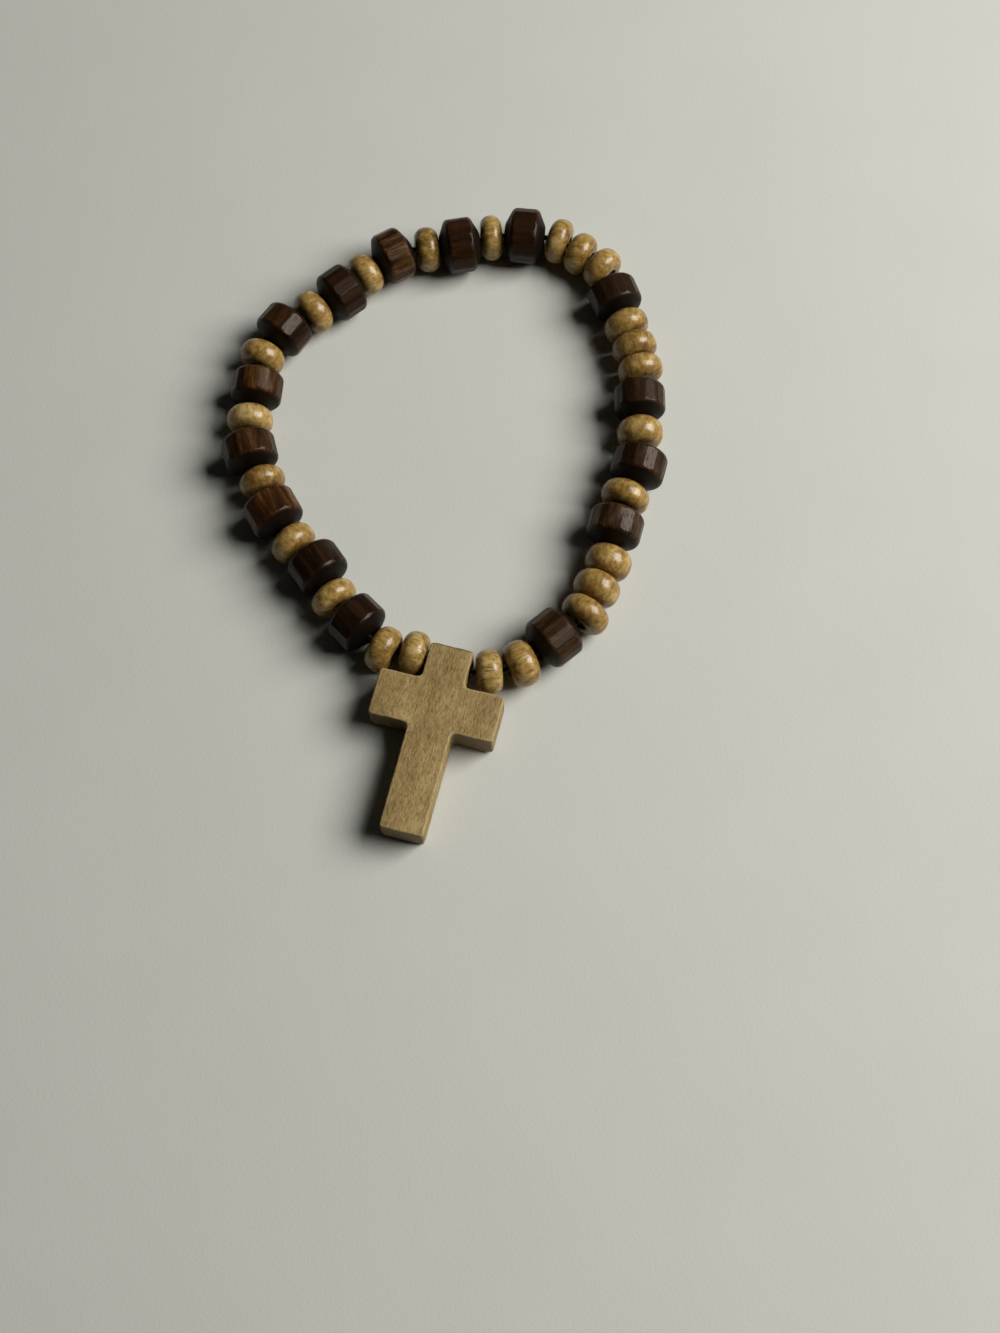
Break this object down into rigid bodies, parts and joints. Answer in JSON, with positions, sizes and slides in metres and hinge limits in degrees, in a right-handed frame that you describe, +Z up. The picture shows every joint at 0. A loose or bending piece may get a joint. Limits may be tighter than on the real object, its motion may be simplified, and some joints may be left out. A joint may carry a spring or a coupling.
{
  "type": "wooden bead bracelet with a flat cross",
  "caption": "Stretch bracelet of dark barrel beads and light rondelle beads with a flat wooden cross, on one loop of elastic; it slips over the hand onto a wrist.",
  "frame": {"origin": "on the surface that the bracelet lies on, under the middle of its outline seen from above", "axes": "+Z up from the table, +Y along the loop's length away from the cross, +X to the right with the cross nearest the viewer"},
  "size_m": [0.0576, 0.0872, 0.0073],
  "materials": {
    "dark_wood": "near-black brown turned wood with reddish streaks along the thread, satin varnish",
    "light_wood": "yellow-tan turned wood with short brown grain lines, thin satin varnish",
    "cross_wood": "pale sanded wood with fine flecked grain along the stem, matte",
    "elastic": "dark brown elastic cord, matte"
  },
  "bodies": {
    "root": {"cross": "cross_wood", "light_bead_01": "light_wood", "light_bead_02": "light_wood", "dark_bead_03": "dark_wood", "light_bead_04": "light_wood", "dark_bead_05": "dark_wood", "light_bead_06": "light_wood", "dark_bead_07": "dark_wood", "light_bead_08": "light_wood", "dark_bead_09": "dark_wood", "light_bead_10": "light_wood", "dark_bead_11": "dark_wood", "light_bead_12": "light_wood", "dark_bead_13": "dark_wood", "light_bead_14": "light_wood", "dark_bead_15": "dark_wood", "light_bead_16": "light_wood", "dark_bead_17": "dark_wood", "light_bead_18": "light_wood", "dark_bead_19": "dark_wood", "light_bead_20": "light_wood", "dark_bead_21": "dark_wood", "light_bead_22": "light_wood", "light_bead_23": "light_wood", "light_bead_24": "light_wood", "dark_bead_25": "dark_wood", "light_bead_26": "light_wood", "light_bead_27": "light_wood", "light_bead_28": "light_wood", "dark_bead_29": "dark_wood", "light_bead_30": "light_wood", "dark_bead_31": "dark_wood", "light_bead_32": "light_wood", "dark_bead_33": "dark_wood", "light_bead_34": "light_wood", "light_bead_35": "light_wood", "light_bead_36": "light_wood", "dark_bead_37": "dark_wood", "light_bead_38": "light_wood", "light_bead_39": "light_wood", "elastic_thread": "elastic"}
  },
  "joints": []
}
